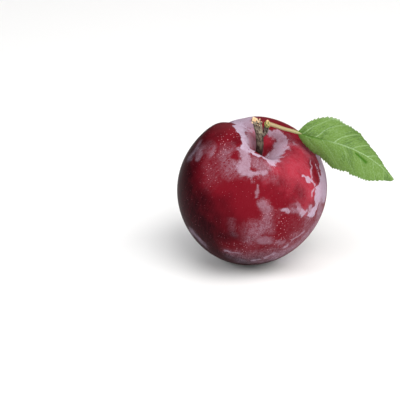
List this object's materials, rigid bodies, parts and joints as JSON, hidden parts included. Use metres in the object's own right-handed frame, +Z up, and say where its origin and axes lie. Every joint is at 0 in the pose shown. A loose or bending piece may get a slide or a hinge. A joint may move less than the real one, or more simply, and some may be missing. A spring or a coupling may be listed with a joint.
{
  "type": "plum",
  "caption": "Whole round red plum with a stem hollow and a shallow suture, its torn woody stalk, a side spur with a bud, and a leaf on a slim leaf stalk. Rests on a small flat spot.",
  "frame": {"origin": "centre of the small flat spot that the plum rests on", "axes": "+Z up from the resting spot; the stem end leans towards -Y, the front; the leaf reaches out along +X"},
  "size_m": [0.0915, 0.064, 0.0696],
  "materials": {
    "plum_skin": "ripe dark red skin, half gloss where rubbed, dusted with pale mauve bloom",
    "stalk_bark": "dry ridged grey-brown bark",
    "bud_green": "soft green scales with pale dry tips",
    "leaf_stalk_green": "smooth yellowish green stem",
    "leaf_green": "matt green leaf with pale veins"
  },
  "bodies": {
    "root": {"fruit": "plum_skin", "fruit_stalk": "stalk_bark", "side_spur": "stalk_bark", "spur_bud": "bud_green", "leaf_stalk": "leaf_stalk_green", "leaf_blade": "leaf_green"}
  },
  "joints": []
}
